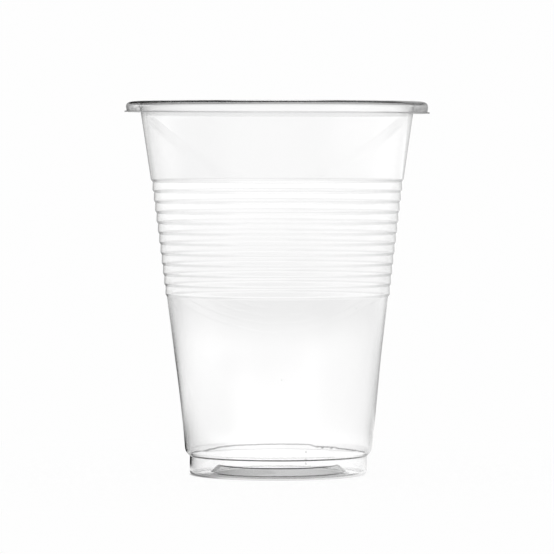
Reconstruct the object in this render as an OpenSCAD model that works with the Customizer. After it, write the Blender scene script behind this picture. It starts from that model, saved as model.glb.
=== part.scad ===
// Thin clear drinking cup, formed in one piece from a single sheet.
// It stands on z = 0 with its axis on z, and every size is in millimetres.
//
// The cup is one line of corners turned round the axis. The line runs along the outer side
// of the sheet: from the middle of the base, under the foot, up the ribbed wall, out under
// the rim and down to its cut edge. A corner is [radius, height, rounding, sheet thickness],
// and the sheet is laid on the inner side of the line.

/* [Overall] */
// Height of the cup
cup_h = 90; // [80:0.5:120]
// Width of the wall at the rim, measured outside
mouth_d = 66.5; // [62:0.1:69]

/* [Rim] */
// Width over the rounded edge of the rim
rim_d = 73; // [71:0.1:80]
// Rounding of that edge
rim_edge_r = 1.2; // [0.5:0.05:1.3]
// Rounding where the wall turns out under the rim
rim_root_r = 0.6; // [0.1:0.05:0.8]
// Height of the rim with its turned-down skirt
skirt_h = 2.6; // [1.6:0.1:6]
// How far the skirt draws in towards its lower edge
skirt_lean = 0.2; // [0:0.05:0.5]
// How far the cut edge stands out from the foot of the skirt
trim_lip = 0.45; // [0.1:0.05:0.8]

/* [Ribs] */
// Number of ribs
rib_count = 11; // [4:1:14]
// Height of one rib
rib_pitch = 2.5; // [2:0.05:3.2]
// Height of the lowest groove above the table
ribs_z = 43; // [30:0.5:48]
// Width across the highest groove
ribs_top_d = 60.2; // [56:0.1:63]
// Width across the lowest groove
ribs_bottom_d = 53.5; // [48:0.1:57]
// How much further out the lower edge of a rib stands than its upper edge
rib_flare = 0.06; // [0:0.02:0.3]
// Height of the slope from a groove to the rib above it
rib_slope_h = 0.6; // [0.2:0.05:0.8]
// Rounding of the lower edge of a rib
rib_edge_r = 0.5; // [0.35:0.05:0.8]
// Rounding of the grooves
groove_r = 0.2; // [0.05:0.05:0.4]
// How far the plain wall stands out over the highest groove
wall_step = 0.45; // [0.2:0.05:1]

/* [Lower wall] */
// Width at the shoulder over the foot
shoulder_d = 45.1; // [44:0.1:47.5]
// Rise of the shoulder from the crease at the top of the foot
shoulder_rise = 1.2; // [0.2:0.05:2]
// Rounding of the shoulder
shoulder_r = 0.8; // [0.6:0.05:2.5]
// How far the lower wall is drawn in at half its height
waist = 0.2; // [0:0.05:0.8]

/* [Foot] */
// Height of the foot, from the table to the crease
foot_h = 4.5; // [3:0.1:9]
// Width across the crease
crease_d = 42.8; // [40.5:0.1:43.5]
// Rounding of the crease
crease_r = 0.15; // [0.05:0.05:0.5]
// Width of the foot at the table
foot_d = 42.9; // [41:0.1:46]
// Rounding of the foot's lower edge
foot_edge_r = 1; // [0.5:0.05:1.8]
// Width of the flat ring that the cup stands on
ring_w = 0.7; // [0.4:0.1:1.5]

/* [Base] */
// Height of the raised middle of the base, measured underneath
recess_h = 2.1; // [1:0.1:2.8]
// Width of the raised middle at its top
recess_top_d = 28.5; // [20:0.1:31]
// Width of the raised middle at its foot
recess_foot_d = 32.6; // [31.5:0.1:36]
// Rounding of both edges of the raised middle
recess_edge_r = 0.5; // [0.45:0.05:1]
// Rise of the base from the standing ring to the foot of the raised middle
heel_rise = 0.45; // [0:0.05:0.6]

/* [Sheet] */
// Thickness of the base
base_t = 0.35; // [0.25:0.05:0.45]
// Thickness of the foot
foot_t = 0.3; // [0.2:0.05:0.45]
// Thickness of the wall
wall_t = 0.25; // [0.15:0.05:0.35]
// Thickness of the top of the rim
rim_t = 0.4; // [0.3:0.05:0.8]
// Thickness at the cut edge of the rim
trim_t = 0.3; // [0.2:0.05:0.5]

/* [Hidden] */
// Largest turn of one step round a rounded corner, in degrees
arc_step = 18;
// Straight stretches that follow the drawn-in lower wall
waist_steps = 6;
// Least share of a side that stays straight between two rounded corners
straight_share = 0.05;
$fn = 96;

shoulder_z = foot_h + shoulder_rise;
skirt_z = cup_h - skirt_h;
rim_under_z = cup_h - rim_t;
ring_r = foot_d / 2 - foot_edge_r;

// The place of a corner or a point, without its rounding and thickness
function place(corner) = [corner[0], corner[1]];

function span(a, b) = norm(place(b) - place(a));

function toward(a, b) = (place(b) - place(a)) / span(a, b);

// A value part of the way from one to another
function between(a, b, share) = a + (b - a) * share;

// How much of the side to the next corner a corner may round away
function room(corner, next) =
    (1 - straight_share) * span(corner, next) * corner[2] / (corner[2] + next[2]);

// A rounded corner as points [radius, height, sheet thickness]
function rounded(before, corner, after) =
    let (
        back = toward(corner, before),
        on = toward(corner, after),
        turn = abs(atan2(cross(-back, on), -back * on))
    )
    corner[2] == 0 ? [[corner[0], corner[1], corner[3]]] :
    let (
        reach = min(corner[2] * tan(turn / 2), room(corner, before), room(corner, after)),
        round_r = reach / tan(turn / 2),
        centre = place(corner) + (back + on) / norm(back + on) * round_r / cos(turn / 2),
        first = place(corner) + back * reach - centre,
        last = place(corner) + on * reach - centre,
        steps = ceil(turn / arc_step)
    )
    [
        for (k = [0 : steps])
            let (
                done = turn * k / steps,
                spot = centre + (first * sin(turn - done) + last * sin(done)) / sin(turn)
            )
            [spot[0], spot[1], corner[3]]
    ];

// The whole line through its corners, with each of them rounded
function outer_line(corners) =
    let (last = len(corners) - 1)
    [
        for (i = [0 : last])
            each i == 0 || i == last
                ? [[corners[i][0], corners[i][1], corners[i][3]]]
                : rounded(corners[i - 1], corners[i], corners[i + 1])
    ];

// The inner side of the sheet: each point moved square to the line by the thickness there
function inner_line(points) =
    let (last = len(points) - 1)
    [
        for (i = [0 : last])
            let (
                into = toward(points[max(i - 1, 0)], points[max(i, 1)]),
                on = toward(points[min(i, last - 1)], points[min(i + 1, last)]),
                along = (into + on) / norm(into + on)
            )
            place(points[i]) + [-along[1], along[0]] * points[i][2] / (along * on)
    ];

// The raised middle of the base and the heel round it, down to the standing ring
function base_corners() = [
    [0, recess_h, 0, base_t],
    [recess_top_d / 2, recess_h, recess_edge_r, base_t],
    [recess_foot_d / 2, heel_rise, recess_edge_r, base_t],
    [ring_r - ring_w, 0, 0, base_t]
];

// The foot, from its rounded lower edge to the crease
function foot_corners() = [
    [foot_d / 2, 0, foot_edge_r, foot_t],
    [crease_d / 2, foot_h, crease_r, foot_t]
];

// The shoulder and the slightly drawn-in wall over it
function lower_wall_corners() = [
    for (k = [0 : waist_steps - 1])
        let (share = k / waist_steps)
        [
            between(shoulder_d / 2, ribs_bottom_d / 2, share) - 4 * waist * share * (1 - share),
            between(shoulder_z, ribs_z, share),
            k == 0 ? shoulder_r : 0,
            wall_t
        ]
];

// Grooves are numbered downwards, and groove 0 lies over the highest rib
function groove_radius(n) = between(ribs_top_d / 2, ribs_bottom_d / 2, n / rib_count);

function groove_z(n) = ribs_z + rib_pitch * (rib_count - n);

// A groove, and the slope out of it to the edge above
function groove_corners(n, edge_radius) = [
    [groove_radius(n), groove_z(n), groove_r, wall_t],
    [edge_radius, groove_z(n) + rib_slope_h, rib_edge_r, wall_t]
];

// The band of ribs, from the lowest groove to the edge of the plain wall over it
function rib_corners() = [
    for (n = [rib_count : -1 : 0])
        each groove_corners(n, n > 0 ? groove_radius(n - 1) + rib_flare : groove_radius(0) + wall_step)
];

// The top of the wall, the rim turned out and down over it, and its cut edge
function rim_corners() =
    let (
        wall_foot = rib_corners()[2 * rib_count + 1],
        wall_share = (skirt_z - wall_foot[1]) / (rim_under_z - wall_foot[1]),
        skirt_r = rim_d / 2 - skirt_lean
    )
    [
        [between(wall_foot[0], mouth_d / 2, wall_share), skirt_z, 0, wall_t],
        [mouth_d / 2, rim_under_z, rim_root_r, rim_t],
        [rim_d / 2 - rim_t, rim_under_z, rim_edge_r - rim_t, rim_t],
        [skirt_r - trim_t, skirt_z, 0, trim_t],
        [skirt_r + trim_lip, skirt_z, 0, trim_t]
    ];

function reversed(list) = [for (i = [len(list) - 1 : -1 : 0]) list[i]];

module cup_section() {
    outside = outer_line(concat(
        base_corners(),
        foot_corners(),
        lower_wall_corners(),
        rib_corners(),
        rim_corners()
    ));
    polygon(concat([for (point = outside) place(point)], reversed(inner_line(outside))));
}

module cup() {
    color([0.93, 0.95, 0.96, 0.45])
        rotate_extrude()
            cup_section();
}

cup();
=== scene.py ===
"""The look of a clear disposable cup: its sheet as a fine mesh, its plastic, and a bright plain studio."""

import math

import bpy
from mathutils import Matrix, Vector
from mathutils.noise import noise as noise_at


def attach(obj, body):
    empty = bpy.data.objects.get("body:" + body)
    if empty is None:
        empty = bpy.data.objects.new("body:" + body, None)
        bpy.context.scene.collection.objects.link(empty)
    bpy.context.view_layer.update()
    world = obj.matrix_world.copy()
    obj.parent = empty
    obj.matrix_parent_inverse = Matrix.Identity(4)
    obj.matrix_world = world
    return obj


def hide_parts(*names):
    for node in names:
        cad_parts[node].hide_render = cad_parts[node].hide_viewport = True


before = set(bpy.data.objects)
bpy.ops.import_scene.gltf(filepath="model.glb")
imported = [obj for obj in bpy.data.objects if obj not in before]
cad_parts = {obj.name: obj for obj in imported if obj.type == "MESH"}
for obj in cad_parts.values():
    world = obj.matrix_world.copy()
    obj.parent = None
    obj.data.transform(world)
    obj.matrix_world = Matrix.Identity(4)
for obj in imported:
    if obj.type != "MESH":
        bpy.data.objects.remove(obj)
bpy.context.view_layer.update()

MM = 0.001

# The cup's driving sizes, in millimetres. They are the solid's, but the shoulder is rounded more softly.
CUP_H = 90.0
MOUTH_D = 66.5
RIM_D = 73.0
RIM_EDGE_R = 1.2
RIM_ROOT_R = 0.6
SKIRT_H = 2.6
SKIRT_LEAN = 0.2
TRIM_LIP = 0.45
RIB_COUNT = 11
RIB_PITCH = 2.5
RIBS_Z = 43.0
RIBS_TOP_D = 60.2
RIBS_BOTTOM_D = 53.5
RIB_FLARE = 0.06
RIB_SLOPE_H = 0.6
RIB_EDGE_R = 0.5
GROOVE_R = 0.2
WALL_STEP = 0.45
SHOULDER_D = 45.1
SHOULDER_RISE = 1.2
SHOULDER_R = 2.0
WAIST = 0.2
FOOT_H = 4.5
CREASE_D = 42.8
CREASE_R = 0.15
FOOT_D = 42.9
FOOT_EDGE_R = 1.0
RING_W = 0.7
RECESS_H = 2.1
RECESS_TOP_D = 28.5
RECESS_FOOT_D = 32.6
RECESS_EDGE_R = 0.5
HEEL_RISE = 0.45
BASE_T = 0.35
FOOT_T = 0.3
WALL_T = 0.25
RIM_T = 0.4
TRIM_T = 0.3

# How far the foot stands to the right of the rim
LEAN = 0.3
# How far the lowest part of the wall bows to the right, and up to what height
BOW = 0.17
BOW_H = 28
# How far the right end of the rim hangs, and how far down the wall that reaches
RIM_DROP = 0.1
RIM_DROP_H = 15
# How far the skirt hangs at its lower edge, falling to nothing at its left end
SKIRT_DROP = 0.38
# The wall's slight waves: their height and width
WAVE = 0.06
WAVE_W = 16
# Keeps the round mesh inside the solid's box
SNUG = 0.9995

# How finely the mesh follows the form: the stretches of the lower wall, the least share of a side that
# stays straight between two rounded corners, the largest turn of one step round a corner, the longest
# stretch, the steps round the axis, and the turn from which an edge is sharp
WAIST_STEPS = 6
STRAIGHT_SHARE = 0.05
ARC_STEP = math.radians(15)
STRETCH = 2.4
SEGMENTS = 288
SHARP_TURN = math.radians(35)

SHOULDER_Z = FOOT_H + SHOULDER_RISE
SKIRT_Z = CUP_H - SKIRT_H
RIM_UNDER_Z = CUP_H - RIM_T
RING_R = FOOT_D / 2 - FOOT_EDGE_R

# The plastic: how much it bends light, how much light a millimetre of it takes away, and how rough
# its sides, the cut edge of its rim and its marks are
IOR = 1.49
DULLNESS = 0.08
SIDE_ROUGHNESS = 0.03
EDGE_ROUGHNESS = 0.3
MARK_ROUGHNESS = 0.4
# The tone of the specks and of the painted shade line round the far side
SPECK_AND_SHADE_TONE = 0.5

# Bearings are in degrees from straight behind the cup, with minus to its left.
# The cut edge of the rim begins this far out from the rim's side, and has painted shade by bearing,
# darkest at the right
EDGE_OUT = 0.05
EDGE_SHADE_TONES = [
    (-180, 0.85), (-155, 0.6), (-130, 0.35), (-95, 0.4), (-70, 0.8), (0, 1),
    (70, 0.7), (95, 0.2), (125, 0.3), (150, 0.7), (180, 0.85),
]
# Painted shade: the two ends of the rim are darker than its middle, and its top most of all
RIM_SHADE_TONES = [
    (-128, 1), (-112, 0.95), (-100, 0.75), (-80, 0.75), (-68, 0.95), (-52, 1),
    (52, 1), (66, 0.95), (76, 0.55), (104, 0.55), (114, 0.95), (128, 1),
]
RIM_TOP_H = 1.1
RIM_TOP_SHADE_TONES = [
    (-150, 1), (-120, 0.55), (-60, 0.55), (-35, 1), (40, 1), (60, 0.6), (120, 0.6), (145, 1),
]

# Painted shade: dark lines on the folds on the near side, over the crease and in the heel: their places,
# half widths and tone
CREASE_UP = 0.26
CREASE_HALF_W = 0.15
HEEL_R = 17.3
HEEL_HALF_W = 0.65
FOLD_SHADE_TONE = 0.1
# 1 on the near side of the axis and 0 on its far side, by bearing
NEAR_SIDE = [(-110, 1), (-85, 0), (85, 0), (110, 1)]

# A line of painted shade round the far side, where the far shoulder is shaded: its rise over the crease,
# in shares of LINE_H by bearing, the height and the cells a metre of its fine waves, and its half width
LINE_H = 1.2
LINE_SHARES = [
    (-90, 0), (-75, 0.02), (-61, 0.1), (-48, 0.42), (-39, 0.72), (-25, 0.88), (0, 0.97),
    (20, 0.97), (26, 0.6), (40, 0.59), (44, 0.41), (52, 0.38), (75, 0.1), (90, 0),
]
LINE_WAVE = 0.2
LINE_WAVE_CELLS = 900
LINE_HALF_W = 0.13

# Specks in the plastic and, over the foot at the back, the wrinkle: their places and radii
SPECKS = [
    ((1.1, -24.1, 24), 0.14),
    ((18.7, -18.8, 40.8), 0.16),
    ((1.6, -21.2, 4.1), 0.12),
    ((2.6, -21.1, 3.9), 0.1),
    ((4.4, -20.9, 4.2), 0.12),
    ((10, 19.6, 5.2), 0.35),
    ((11.3, 18.9, 5.05), 0.45),
    ((12.4, 18.1, 5.3), 0.35),
    ((13.5, 17.4, 5.05), 0.4),
    ((7.2, 20.3, 3.9), 0.3),
]

# The white of the table and of the studio, and the tones that show through the plastic:
# of the studio, and of the table near the cup, further out and at its far edge
WHITE = 0.99
CLEAR = 1.08
GLARE = 1.14
PLAIN = 1.05
HAZE = 0.935

# The table is round. Its radius and all distances on it are in metres from the cup's axis.
FLOOR_R = 1.2
FLOOR_SIDES = 96
# A painted contact shadow: a thin dark line on the table under the foot, where the camera sees it: between
# which distances it ends, and its tone
CONTACT_SHADOW_END = (0.0207, 0.0213)
CONTACT_SHADOW_TONE = 0.35
# The share of its own glow in the table's white, by distance, and under the cup through the plastic
GLOW_SHARES = [(0.05, 0.85), (0.12, 1)]
UNDER_GLOW = 0.8
UNDER_GLOW_END = (0.018, 0.023)

# What the plastic mirrors of the table: in front and at the right by distance, and at the left
# by bearing near the cup and by both further out
FRONT_TONES = [(0.016, 0.6), (0.022, 1), (0.13, 1), (0.19, 0.55), (0.46, 0.5), (1, 1.3)]
RIGHT_TONES = [(0.016, 0.6), (0.022, 1), (0.06, 0.8), (0.1, 0.5), (0.2, 0.5), (0.4, 1.1)]
NEAR_LEFT_TONES = [(-80, 0.25), (-60, 1)]
NEAR_LEFT_END = (0.03, 0.045)
FAR_LEFT_TONES = [(0.08, 0), (0.15, 0.5), (0.3, 0.2), (0.6, 0.6)]
FAR_LEFT_SHARES = [(-110, 1.4), (-75, 1), (-45, 1), (-25, 0.75)]
AT_LEFT = [(-150, 0), (-120, 1), (-14, 1), (-4, 0)]
AT_RIGHT = [(20, 0), (50, 1), (120, 1), (150, 0)]

# What shows of the table through the plastic: open table by distance, and duller towards both sides
THROUGH_TONES = [(0.1, GLARE), (0.17, PLAIN), (0.6, PLAIN), (1, HAZE)]
SIDE_SHARES = [(-13, 0.8), (-7, 1), (7, 1), (13, 0.93)]
SIDES_BEGIN = [(0.07, 0), (0.09, 1)]
# Under the cup it is in shade, a little deeper at the left and under the near part of the foot
UNDER_TONE = 0.6
UNDER_LEFT_TONE = 0.46
UNDER_NEAR_TONE = 0.4
NEAR_BEGIN = (0.017, 0.018)
NEAR_SHADE_END = (0.0207, 0.022)
FAR_SHADE_END = (0.018, 0.0205)

# What the plastic mirrors of the studio, by bearing: low down, at middle height and high up.
# The rise of a direction is its upward part, and it tells where one goes over into the next
LOW_LIGHT = [
    (-180, 1.2), (-112, 1.2), (-75, 1.1), (-50, 1.05), (-33, 0.75), (-11, 0.4), (-5, 1.3),
    (5, 1.3), (11, 0.6), (35, 1), (75, 1.6), (112, 1.6), (180, 1.2),
]
MIDDLE_LIGHT = [
    (-180, 0.4), (-112, 0.3), (-75, 0.5), (-55, 0), (-12, 0), (0, 0.65),
    (18, 0.6), (28, 0.1), (50, 0.1), (65, 0.7), (112, 0.4), (180, 0.4),
]
HIGH_LIGHT = [(-180, 0.6), (-150, 0), (60, 0), (80, 0.5), (112, 0.8), (180, 0.6)]
LOW_TO_MIDDLE = [(0.14, 0), (0.21, 1)]
MIDDLE_TO_HIGH = [(0.42, 0), (0.53, 1)]
# What shows of the studio through the plastic, by rise
BACKDROP = [(-0.035, HAZE), (-0.005, CLEAR), (0.05, CLEAR), (0.16, 0.5), (0.42, 0.2), (0.5, 0)]

# The camera: its distance and height, the height that it looks at, and the width that it sees there
EYE_AWAY = 1070
EYE_H = 81.1
AIM_H = 47.6
FRAME_W = 133.6
SENSOR_W = 36


def between(a, b, share):
    return a + (b - a) * share


# The section: a corner is (radius, height, rounding, sheet thickness)


def base_corners():
    """The raised middle of the base and the heel round it, down to the standing ring."""
    return [
        (0, RECESS_H, 0, BASE_T),
        (RECESS_TOP_D / 2, RECESS_H, RECESS_EDGE_R, BASE_T),
        (RECESS_FOOT_D / 2, HEEL_RISE, RECESS_EDGE_R, BASE_T),
        (RING_R - RING_W, 0, 0, BASE_T),
    ]


def foot_corners():
    """The foot, from its rounded lower edge to the crease."""
    return [
        (FOOT_D / 2, 0, FOOT_EDGE_R, FOOT_T),
        (CREASE_D / 2, FOOT_H, CREASE_R, FOOT_T),
    ]


def lower_wall_corners():
    """The shoulder and the slightly drawn-in wall over it."""
    corners = []
    for step in range(WAIST_STEPS):
        share = step / WAIST_STEPS
        radius = between(SHOULDER_D / 2, RIBS_BOTTOM_D / 2, share) - 4 * WAIST * share * (1 - share)
        height = between(SHOULDER_Z, RIBS_Z, share)
        corners.append((radius, height, SHOULDER_R if step == 0 else 0, WALL_T))
    return corners


# Grooves are numbered downwards, and groove 0 lies over the highest rib


def groove_radius(number):
    return between(RIBS_TOP_D / 2, RIBS_BOTTOM_D / 2, number / RIB_COUNT)


def groove_z(number):
    return RIBS_Z + RIB_PITCH * (RIB_COUNT - number)


def rib_corners():
    """The band of ribs, from the lowest groove to the edge of the plain wall over it."""
    corners = []
    for number in range(RIB_COUNT, -1, -1):
        edge = groove_radius(number - 1) + RIB_FLARE if number > 0 else groove_radius(0) + WALL_STEP
        corners.append((groove_radius(number), groove_z(number), GROOVE_R, WALL_T))
        corners.append((edge, groove_z(number) + RIB_SLOPE_H, RIB_EDGE_R, WALL_T))
    return corners


def rim_corners():
    """The top of the wall, the rim turned out and down over it, and its cut edge."""
    wall_foot = rib_corners()[-1]
    wall_share = (SKIRT_Z - wall_foot[1]) / (RIM_UNDER_Z - wall_foot[1])
    skirt_r = RIM_D / 2 - SKIRT_LEAN
    return [
        (between(wall_foot[0], MOUTH_D / 2, wall_share), SKIRT_Z, 0, WALL_T),
        (MOUTH_D / 2, RIM_UNDER_Z, RIM_ROOT_R, RIM_T),
        (RIM_D / 2 - RIM_T, RIM_UNDER_Z, RIM_EDGE_R - RIM_T, RIM_T),
        (skirt_r - TRIM_T, SKIRT_Z, 0, TRIM_T),
        (skirt_r + TRIM_LIP, SKIRT_Z, 0, TRIM_T),
    ]


def room(corner, near):
    """How much of the side to a neighbour a corner may round away."""
    span = math.dist(corner[:2], near[:2])
    return (1 - STRAIGHT_SHARE) * span * corner[2] / (corner[2] + near[2])


def rounded(before, corner, after):
    """A rounded corner as points (radius, height, sheet thickness)."""
    spot = Vector(corner[:2])
    back = (Vector(before[:2]) - spot).normalized()
    on = (Vector(after[:2]) - spot).normalized()
    turn = math.pi - back.angle(on)
    reach = min(corner[2] * math.tan(turn / 2), room(corner, before), room(corner, after))
    centre = spot + (back + on).normalized() * reach / math.sin(turn / 2)
    first = spot + back * reach - centre
    last = spot + on * reach - centre
    steps = math.ceil(turn / ARC_STEP)
    points = []
    for step in range(steps + 1):
        done = turn * step / steps
        point = centre + (first * math.sin(turn - done) + last * math.sin(done)) / math.sin(turn)
        points.append((point.x, point.y, corner[3]))
    return points


def outer_line(corners):
    """The line through the corners, each rounded, with its long straights divided."""
    points = [(*corners[0][:2], corners[0][3])]
    for number, corner in enumerate(corners[1:], 1):
        if number < len(corners) - 1 and corner[2] > 0:
            added = rounded(corners[number - 1], corner, corners[number + 1])
        else:
            added = [(*corner[:2], corner[3])]
        start = points[-1]
        parts = math.ceil(math.dist(start[:2], added[0][:2]) / STRETCH)
        for part in range(1, parts):
            points.append(tuple(between(a, b, part / parts) for a, b in zip(start, added[0])))
        points.extend(added)
    return points


def inner_line(points):
    """The inner side of the sheet: each point moved square to the line by the thickness there."""
    moved = []
    last = len(points) - 1
    for number, point in enumerate(points):
        first = max(number, 1)
        final = min(number, last - 1)
        into = (Vector(points[first][:2]) - Vector(points[first - 1][:2])).normalized()
        on = (Vector(points[final + 1][:2]) - Vector(points[final][:2])).normalized()
        along = (into + on).normalized()
        shift = Vector((-along.y, along.x)) * point[2] / along.dot(on)
        moved.append((point[0] + shift.x, point[1] + shift.y))
    return moved


def cup_section():
    """The outer side of the sheet from the axis to the cut edge, and its inner side back to the axis."""
    outside = outer_line(
        base_corners() + foot_corners() + lower_wall_corners() + rib_corners() + rim_corners()
    )
    inside = inner_line(outside)
    return [point[:2] for point in outside] + inside[::-1]


def turned_mesh(name, section):
    """The closed section turned round the axis. Its two ends lie on the axis."""
    vertices = [(0, 0, section[0][1])]
    for radius, height in section[1:-1]:
        for number in range(SEGMENTS):
            turn = math.tau * number / SEGMENTS
            vertices.append((radius * math.sin(turn), -radius * math.cos(turn), height))
    vertices.append((0, 0, section[-1][1]))
    last_ring = len(section) - 3
    faces = []
    for number in range(SEGMENTS):
        after = (number + 1) % SEGMENTS
        faces.append((0, 1 + after, 1 + number))
        for ring in range(last_ring):
            low = 1 + ring * SEGMENTS
            high = low + SEGMENTS
            faces.append((low + number, low + after, high + after, high + number))
        low = 1 + last_ring * SEGMENTS
        faces.append((low + number, low + after, len(vertices) - 1))
    mesh = bpy.data.meshes.new(name)
    mesh.from_pydata(vertices, [], faces)
    return mesh


def settle(mesh):
    """A formed cup is never quite true: its wall waves, it leans and bows, and its rim and skirt hang."""
    for vertex in mesh.vertices:
        spot = vertex.co
        radius = math.hypot(spot.x, spot.y)
        to_right = spot.x / (RIM_D / 2)
        if radius > RIM_D / 2 - RIM_EDGE_R:
            skirt_share = min(1, (CUP_H - spot.z) / SKIRT_H)
            spot.z -= SKIRT_DROP * skirt_share * (1 - min(0, to_right) ** 2)
        rim_share = max(0, 1 - (CUP_H - spot.z) / RIM_DROP_H)
        spot.z -= RIM_DROP * rim_share * max(0, to_right) ** 3
        wave_share = min(1, spot.z / WAVE_W, (CUP_H - spot.z) / WAVE_W)
        wave = WAVE * wave_share * noise_at(spot / WAVE_W)
        spot.x *= SNUG + wave / max(radius, 1)
        spot.y *= SNUG + wave / max(radius, 1)
        spot.x += LEAN * (1 - spot.z / CUP_H)
        if 0 < spot.z < BOW_H:
            spot.x += BOW * math.sin(math.pi * spot.z / BOW_H)


def placed(name, data):
    """A new object of the scene."""
    item = bpy.data.objects.new(name, data)
    bpy.context.scene.collection.objects.link(item)
    return item


cup_mesh = turned_mesh("cup_sheet", cup_section())
settle(cup_mesh)
cup_mesh.transform(Matrix.Scale(MM, 4))
cup = placed("cup_sheet", cup_mesh)
cup_mesh.shade_smooth()
cup_mesh.set_sharp_from_angle(angle=SHARP_TURN)
firm = cup.modifiers.new("even_normals", "WEIGHTED_NORMAL")
firm.keep_sharp = True
print("cup", len(cup_mesh.vertices), "points", len(cup_mesh.polygons), "faces")


# Shader nodes


def fill(tree, sockets, values):
    """Sets each socket to its number, or links its value to it."""
    for socket, value in zip(sockets, values):
        if isinstance(value, (int, float)):
            socket.default_value = value
        else:
            tree.links.new(value, socket)


def math_node(tree, operation, *values, clamp=False):
    node = tree.nodes.new("ShaderNodeMath")
    node.operation = operation
    node.use_clamp = clamp
    fill(tree, node.inputs, values)
    return node.outputs[0]


def mixed(tree, share, low, high):
    """The low value at share 0, the high one at share 1."""
    node = tree.nodes.new("ShaderNodeMix")
    fill(tree, (node.inputs["Factor"], node.inputs["A"], node.inputs["B"]), (share, low, high))
    return node.outputs["Result"]


def parts_of(tree, vector):
    """The X, Y and Z parts of a vector."""
    split = tree.nodes.new("ShaderNodeSeparateXYZ")
    tree.links.new(vector, split.inputs[0])
    return split.outputs["X"], split.outputs["Y"], split.outputs["Z"]


def axis_distance(tree, place):
    """How far a place lies from the cup's axis."""
    x, y, _ = parts_of(tree, place)
    flat = tree.nodes.new("ShaderNodeCombineXYZ")
    fill(tree, flat.inputs, (x, y, 0))
    length = tree.nodes.new("ShaderNodeVectorMath")
    length.operation = "LENGTH"
    tree.links.new(flat.outputs[0], length.inputs[0])
    return length.outputs["Value"]


def grey_ramp(tree, source, stops):
    """A tone that follows a value from -1 to 1 through (value, tone) stops."""
    share = tree.nodes.new("ShaderNodeMapRange")
    share.inputs["From Min"].default_value = -1
    tree.links.new(source, share.inputs["Value"])
    ramp = tree.nodes.new("ShaderNodeValToRGB")
    ramp.color_ramp.interpolation = "EASE"
    elements = ramp.color_ramp.elements
    while len(elements) < len(stops):
        elements.new(0.5)
    for element, (value, tone) in zip(elements, stops):
        element.position = 0.5 + 0.5 * value
        element.color = (tone, tone, tone, 1)
    tree.links.new(share.outputs["Result"], ramp.inputs["Fac"])
    return ramp.outputs["Color"]


def bearing_ramp(tree, place, stops):
    """A tone by bearing, through (bearing, tone) stops."""
    x, y, _ = parts_of(tree, place)
    half_turns = math_node(tree, "DIVIDE", math_node(tree, "ARCTAN2", x, y), math.pi)
    return grey_ramp(tree, half_turns, [(degrees / 180, tone) for degrees, tone in stops])


def share_past(tree, source, low, high):
    """0 up to a low value, 1 from a high one, and even in between, finer than a ramp can step."""
    node = tree.nodes.new("ShaderNodeMapRange")
    node.inputs["From Min"].default_value = low
    node.inputs["From Max"].default_value = high
    tree.links.new(source, node.inputs["Value"])
    return node.outputs["Result"]


def within(tree, source, middle, half_width):
    """1 where a value lies less than half a width from a middle, and 0 elsewhere."""
    off = math_node(tree, "ABSOLUTE", math_node(tree, "SUBTRACT", source, middle))
    return math_node(tree, "LESS_THAN", off, half_width)


def noise(tree, place, cells):
    """Soft noise round 0, with so many cells a metre."""
    node = tree.nodes.new("ShaderNodeTexNoise")
    node.inputs["Scale"].default_value = cells
    node.inputs["Detail"].default_value = 1
    tree.links.new(place, node.inputs["Vector"])
    return math_node(tree, "SUBTRACT", node.outputs["Fac"], 0.5)


def light_path(tree):
    return tree.nodes.new("ShaderNodeLightPath").outputs


def mirrored_ray(tree):
    """1 where a ray has been mirrored by the plastic on its way, and 0 where it came straight through."""
    return math_node(tree, "GREATER_THAN", light_path(tree)["Glossy Depth"], 0.5)


def lit_directly(tree):
    """1 where a ray has not been scattered by the table, and 0 after that."""
    return math_node(tree, "LESS_THAN", light_path(tree)["Diffuse Depth"], 0.5)


# The plastic


def painted_shade_line(tree, place, height):
    """1 on a line of painted shade round the far side of the wall over the foot, where the shoulder is
    shaded.
    """
    share = bearing_ramp(tree, place, LINE_SHARES)
    line_z = math_node(tree, "MULTIPLY_ADD", share, LINE_H * MM, FOOT_H * MM)
    waves = noise(tree, place, LINE_WAVE_CELLS)
    wavy_z = math_node(tree, "MULTIPLY_ADD", waves, LINE_WAVE * MM, line_z)
    _, y, _ = parts_of(tree, place)
    far_side = math_node(tree, "GREATER_THAN", y, 0)
    return math_node(tree, "MULTIPLY", within(tree, height, wavy_z, LINE_HALF_W * MM), far_side)


def specks(tree, place):
    """1 in each speck."""
    found = 0
    for spot, size in SPECKS:
        gap = tree.nodes.new("ShaderNodeVectorMath")
        gap.operation = "DISTANCE"
        tree.links.new(place, gap.inputs[0])
        gap.inputs[1].default_value = [value * MM for value in spot]
        speck = math_node(tree, "LESS_THAN", gap.outputs["Value"], size * MM)
        found = math_node(tree, "MAXIMUM", found, speck)
    return found


def painted_fold_shade(tree, place, radius, height):
    """How much painted shade darkens the folds over the crease and in the heel, on the near side only."""
    over_crease = within(tree, height, (FOOT_H + CREASE_UP) * MM, CREASE_HALF_W * MM)
    at_heel = within(tree, radius, HEEL_R * MM, HEEL_HALF_W * MM)
    low = math_node(tree, "LESS_THAN", height, RECESS_H / 2 * MM)
    folds = math_node(tree, "MAXIMUM", over_crease, math_node(tree, "MULTIPLY", at_heel, low))
    return math_node(tree, "MULTIPLY", folds, bearing_ramp(tree, place, NEAR_SIDE))


def rim_painted_shade(tree, place, radius, height):
    """The tone of the plastic: clear, and darker with painted shade at the two ends of the rim."""
    on_rim = math_node(tree, "GREATER_THAN", radius, (RIM_D / 2 - RIM_EDGE_R) * MM)
    on_top = math_node(tree, "GREATER_THAN", height, (CUP_H - RIM_TOP_H) * MM)
    top_shade = mixed(tree, on_top, 1, bearing_ramp(tree, place, RIM_TOP_SHADE_TONES))
    tone = math_node(tree, "MULTIPLY", bearing_ramp(tree, place, RIM_SHADE_TONES), top_shade)
    return mixed(tree, on_rim, 1, tone)


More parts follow.
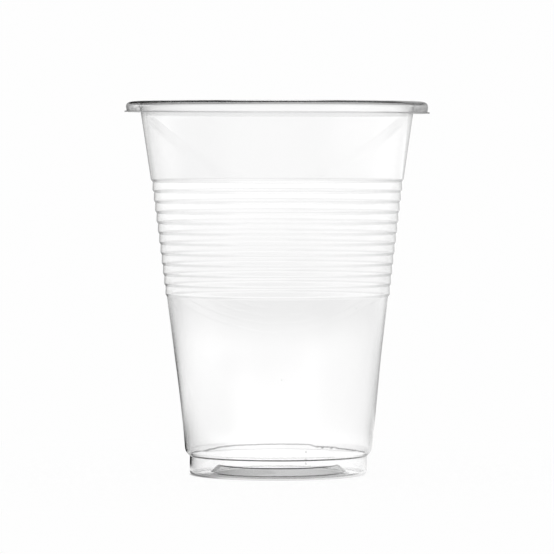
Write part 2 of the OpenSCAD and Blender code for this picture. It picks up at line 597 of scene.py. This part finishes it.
def clear_plastic():
    """Clear glossy plastic with a rough cut edge and specks, and painted shade on the rim, folds and far
    shoulder.
    """
    material = bpy.data.materials.new("clear_plastic")
    material.use_nodes = True
    tree = material.node_tree
    shader = tree.nodes["Principled BSDF"]
    shader.inputs["IOR"].default_value = IOR
    shader.inputs["Transmission Weight"].default_value = 1
    place = tree.nodes.new("ShaderNodeTexCoord").outputs["Object"]
    radius = axis_distance(tree, place)
    _, _, height = parts_of(tree, place)

    cut_edge = math_node(tree, "GREATER_THAN", radius, (RIM_D / 2 + EDGE_OUT) * MM)
    folds = painted_fold_shade(tree, place, radius, height)
    # Specks, and a dark line of painted shade over the far shoulder
    marks = math_node(tree, "MAXIMUM", painted_shade_line(tree, place, height), specks(tree, place))

    rough = mixed(tree, cut_edge, SIDE_ROUGHNESS, EDGE_ROUGHNESS)
    tree.links.new(mixed(tree, marks, rough, MARK_ROUGHNESS), shader.inputs["Roughness"])
    # Painted shade on the cut edge of the rim, by bearing
    edge_shade = bearing_ramp(tree, place, EDGE_SHADE_TONES)
    tone = mixed(tree, cut_edge, rim_painted_shade(tree, place, radius, height), edge_shade)
    # Painted shade: dark lines on the folds on the near side
    tone = mixed(tree, folds, tone, FOLD_SHADE_TONE)
    tree.links.new(mixed(tree, marks, tone, SPECK_AND_SHADE_TONE), shader.inputs["Base Color"])

    body = tree.nodes.new("ShaderNodeVolumeAbsorption")
    body.inputs["Color"].default_value = (0, 0, 0, 1)
    body.inputs["Density"].default_value = DULLNESS / MM
    tree.links.new(body.outputs["Volume"], tree.nodes["Material Output"].inputs["Volume"])
    return material


cup_mesh.materials.append(clear_plastic())
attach(cup, "root")
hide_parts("cup")


# The table


def mirrored_table(tree, place, away, at_left):
    """The table's tone where the plastic mirrors it."""
    front = grey_ramp(tree, away, FRONT_TONES)
    right = grey_ramp(tree, away, RIGHT_TONES)
    near_left = bearing_ramp(tree, place, NEAR_LEFT_TONES)
    far_left = grey_ramp(tree, away, FAR_LEFT_TONES)
    far_left = math_node(tree, "MULTIPLY", far_left, bearing_ramp(tree, place, FAR_LEFT_SHARES))
    left = mixed(tree, share_past(tree, away, *NEAR_LEFT_END), near_left, far_left)
    at_right = bearing_ramp(tree, place, AT_RIGHT)
    return mixed(tree, at_left, mixed(tree, at_right, front, right), left)


def table_through_plastic(tree, place, away, at_left):
    """The table's tone where it shows through the plastic."""
    table = grey_ramp(tree, away, THROUGH_TONES)
    dulled = math_node(tree, "MULTIPLY", table, bearing_ramp(tree, place, SIDE_SHARES))
    table = mixed(tree, grey_ramp(tree, away, SIDES_BEGIN), table, dulled)
    shade = mixed(tree, at_left, UNDER_TONE, UNDER_LEFT_TONE)
    far = mixed(tree, share_past(tree, away, *FAR_SHADE_END), shade, table)
    near_shade = mixed(tree, share_past(tree, away, *NEAR_BEGIN), shade, UNDER_NEAR_TONE)
    near = mixed(tree, share_past(tree, away, *NEAR_SHADE_END), near_shade, table)
    return mixed(tree, bearing_ramp(tree, place, NEAR_SIDE), far, near)


def floor_material():
    """A white table that glows, with a painted contact shadow under the foot, and near the cup also takes
    the light that falls on it.
    """
    material = bpy.data.materials.new("white_table")
    material.use_nodes = True
    tree = material.node_tree
    tree.nodes.clear()
    place = tree.nodes.new("ShaderNodeNewGeometry").outputs["Position"]
    away = axis_distance(tree, place)
    at_left = bearing_ramp(tree, place, AT_LEFT)
    mirrored = mirrored_ray(tree)
    in_view = light_path(tree)["Is Camera Ray"]

    through = table_through_plastic(tree, place, away, at_left)
    bent = mixed(tree, mirrored, through, mirrored_table(tree, place, away, at_left))
    # Painted contact shadow: seen straight from the camera, the table is dark in a thin ring under the
    # foot
    white = mixed(tree, share_past(tree, away, *CONTACT_SHADOW_END), CONTACT_SHADOW_TONE, WHITE)
    under_glow = mixed(tree, share_past(tree, away, *UNDER_GLOW_END), UNDER_GLOW, 1)
    glow_share = mixed(tree, in_view, under_glow, grey_ramp(tree, away, GLOW_SHARES))
    glow_share = mixed(tree, mirrored, glow_share, 1)

    glow = tree.nodes.new("ShaderNodeEmission")
    tree.links.new(mixed(tree, in_view, bent, white), glow.inputs["Color"])
    matt = tree.nodes.new("ShaderNodeBsdfDiffuse")
    matt.inputs["Color"].default_value = (WHITE, WHITE, WHITE, 1)
    mix = tree.nodes.new("ShaderNodeMixShader")
    tree.links.new(math_node(tree, "MULTIPLY", glow_share, lit_directly(tree)), mix.inputs["Fac"])
    tree.links.new(matt.outputs[0], mix.inputs[1])
    tree.links.new(glow.outputs[0], mix.inputs[2])
    output = tree.nodes.new("ShaderNodeOutputMaterial")
    tree.links.new(mix.outputs[0], output.inputs["Surface"])
    return material


def floor():
    mesh = bpy.data.meshes.new("floor")
    turns = [math.tau * number / FLOOR_SIDES for number in range(FLOOR_SIDES)]
    ring = [(FLOOR_R * math.cos(turn), FLOOR_R * math.sin(turn), 0) for turn in turns]
    mesh.from_pydata(ring, [], [tuple(range(FLOOR_SIDES))])
    mesh.materials.append(floor_material())
    placed("floor", mesh)


floor()


def studio():
    """White in view. What the plastic mirrors is bright low down, most at the right, and dark overhead."""
    world = bpy.data.worlds.new("studio")
    bpy.context.scene.world = world
    world.use_nodes = True
    tree = world.node_tree
    direction = tree.nodes.new("ShaderNodeTexCoord").outputs["Generated"]
    _, _, rise = parts_of(tree, direction)

    low, middle, high = (
        bearing_ramp(tree, direction, stops) for stops in (LOW_LIGHT, MIDDLE_LIGHT, HIGH_LIGHT)
    )
    over_low = mixed(tree, grey_ramp(tree, rise, MIDDLE_TO_HIGH), middle, high)
    mirrored = mixed(tree, grey_ramp(tree, rise, LOW_TO_MIDDLE), low, over_low)
    bent = mixed(tree, mirrored_ray(tree), grey_ramp(tree, rise, BACKDROP), mirrored)

    path = light_path(tree)
    in_plastic = math_node(tree, "ADD", path["Is Glossy Ray"], path["Is Transmission Ray"], clamp=True)
    tone = mixed(tree, math_node(tree, "MULTIPLY", in_plastic, lit_directly(tree)), WHITE, bent)
    background = tree.nodes["Background"]
    tree.links.new(tone, background.inputs["Color"])
    background.inputs["Strength"].default_value = 1


studio()


def camera():
    data = bpy.data.cameras.new("camera")
    item = placed("camera", data)
    bpy.context.scene.camera = item
    item.location = (0, -EYE_AWAY * MM, EYE_H * MM)
    item.rotation_euler = (math.pi / 2 - math.atan((EYE_H - AIM_H) / EYE_AWAY), 0, 0)
    data.sensor_width = SENSOR_W
    data.lens = SENSOR_W * EYE_AWAY / FRAME_W


camera()

scene = bpy.context.scene
scene.view_settings.view_transform = "Standard"
scene.cycles.max_bounces = 24
scene.cycles.transmission_bounces = 24
scene.cycles.glossy_bounces = 16
scene.cycles.blur_glossy = 0
scene.cycles.use_denoising = True
